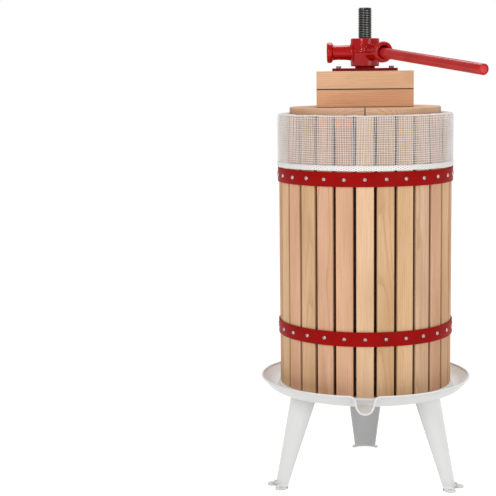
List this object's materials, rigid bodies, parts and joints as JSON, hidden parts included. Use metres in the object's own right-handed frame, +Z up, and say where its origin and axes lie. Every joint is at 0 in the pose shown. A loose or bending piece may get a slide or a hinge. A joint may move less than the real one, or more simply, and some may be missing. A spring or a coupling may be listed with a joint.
{
  "type": "spindle fruit press",
  "caption": "Slatted oak basket press on a white drip tray with splayed sheet legs; a red screw nut with a tube handle presses oak boards down a fixed spindle.",
  "frame": {"origin": "on the floor, on the axis of the spindle, centred between the three legs", "axes": "+Z up along the spindle; -Y towards the spout at the front; +X to the right seen from the front"},
  "size_m": [0.3785, 0.5108, 0.8437],
  "materials": {
    "tray_enamel": "smooth white powder coat, semi-gloss",
    "leg_enamel": "smooth white powder coat, semi-gloss",
    "bright_steel": "zinc-plated steel",
    "spindle_steel": "black oxide steel, lightly oiled",
    "seal_rubber": "matt black rubber",
    "stave_oak": "planed oak, untreated",
    "board_oak": "planed oak, untreated",
    "hoop_red": "red powder coat, semi-gloss",
    "casting_red": "thick gloss red paint over cast iron",
    "handle_red": "red powder coat on steel tube",
    "cap_red": "moulded red plastic plug",
    "net_cloth": "white woven nylon net with a doubled hem"
  },
  "bodies": {
    "stand": {"drip_tray": "tray_enamel", "leg_front_left": "leg_enamel", "leg_front_right": "leg_enamel", "leg_rear": "leg_enamel", "leg_studs": "bright_steel", "leg_nuts": "bright_steel", "spindle": "spindle_steel", "spindle_base_plate": "spindle_steel", "spindle_bottom_nut": "bright_steel", "spindle_top_nut": "bright_steel", "spindle_seal": "seal_rubber"},
    "basket": {"stave_01": "stave_oak", "stave_02": "stave_oak", "stave_03": "stave_oak", "stave_04": "stave_oak", "stave_05": "stave_oak", "stave_06": "stave_oak", "stave_07": "stave_oak", "stave_08": "stave_oak", "stave_09": "stave_oak", "stave_10": "stave_oak", "stave_11": "stave_oak", "stave_12": "stave_oak", "stave_13": "stave_oak", "stave_14": "stave_oak", "stave_15": "stave_oak", "stave_16": "stave_oak", "stave_17": "stave_oak", "stave_18": "stave_oak", "stave_19": "stave_oak", "stave_20": "stave_oak", "stave_21": "stave_oak", "stave_22": "stave_oak", "stave_23": "stave_oak", "stave_24": "stave_oak", "stave_25": "stave_oak", "stave_26": "stave_oak", "stave_27": "stave_oak", "hoop_upper": "hoop_red", "hoop_lower": "hoop_red", "hoop_upper_screws": "bright_steel", "hoop_lower_screws": "bright_steel", "press_cloth": "net_cloth"},
    "press_head": {"block_top": "board_oak", "head_plate": "hoop_red", "head_plate_bolts": "bright_steel", "head_plate_nuts": "bright_steel", "thrust_washer": "bright_steel"},
    "screw_nut": {"nut_head": "casting_red", "retaining_ring": "spindle_steel"},
    "handle": {"handle_tube": "handle_red", "handle_end_cap": "cap_red"},
    "spacer_blocks": {"block_front": "board_oak", "block_rear": "board_oak"},
    "press_plates": {"press_plate_left": "board_oak", "press_plate_right": "board_oak"}
  },
  "joints": [
    {"name": "basket_lift", "type": "slide", "parent": "stand", "child": "basket", "axis": [0, 0, 1], "range_m": [0, 0.03]},
    {"name": "head_travel", "type": "slide", "parent": "stand", "child": "press_head", "axis": [0, 0, 1], "range_m": [-0.0501, 0.0451]},
    {"name": "nut_spin", "type": "hinge", "parent": "press_head", "child": "screw_nut", "pos_m": [0, 0, 0.7658], "axis": [0, 0, 1], "range_deg": [-6000, 5400]},
    {"name": "handle_pull", "type": "slide", "parent": "screw_nut", "child": "handle", "axis": [0.4975, -0.8617, -0.0993], "range_m": [0, 0.045]},
    {"name": "blocks_drop", "type": "slide", "parent": "press_head", "child": "spacer_blocks", "axis": [0, 0, 1], "range_m": [-0.18, 0]},
    {"name": "plates_drop", "type": "slide", "parent": "spacer_blocks", "child": "press_plates", "axis": [0, 0, 1], "range_m": [-0.18, 0]}
  ],
  "couplings": [
    {"joint": "head_travel", "follows": "nut_spin", "m_per_rad": 0.00047746}
  ]
}
